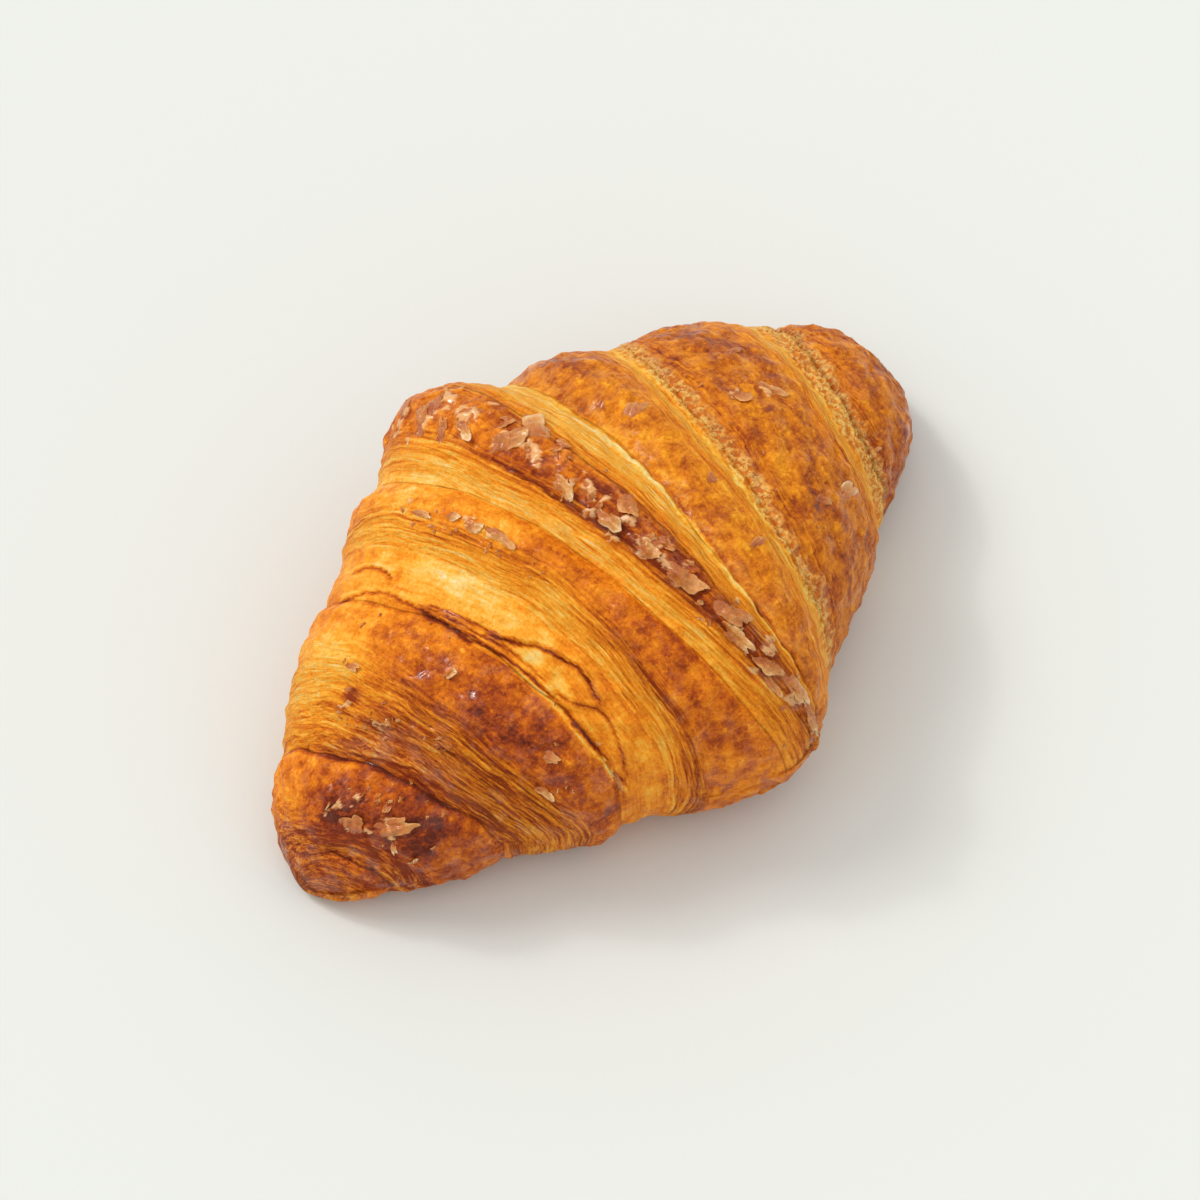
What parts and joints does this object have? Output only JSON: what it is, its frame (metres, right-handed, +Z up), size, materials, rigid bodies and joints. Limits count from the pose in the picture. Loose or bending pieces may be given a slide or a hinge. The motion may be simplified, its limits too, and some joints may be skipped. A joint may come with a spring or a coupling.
{
  "type": "croissant",
  "caption": "Straight butter croissant: rolled laminated dough, widest and highest at its middle wrap, with stepped helical segments tapering to two blunt tips and a flat base.",
  "frame": {"origin": "centre of the bounding box at its bottom, on the surface the croissant rests on", "axes": "+X along the roll from one tip to the other, -Y towards the side with the tongue's point, +Z up"},
  "size_m": [0.16, 0.1046, 0.0595],
  "materials": {
    "crust": "egg-washed baked crust, semi-gloss, golden yellow cut edges and red-brown skins"
  },
  "bodies": {
    "root": {"croissant": "crust"}
  },
  "joints": []
}
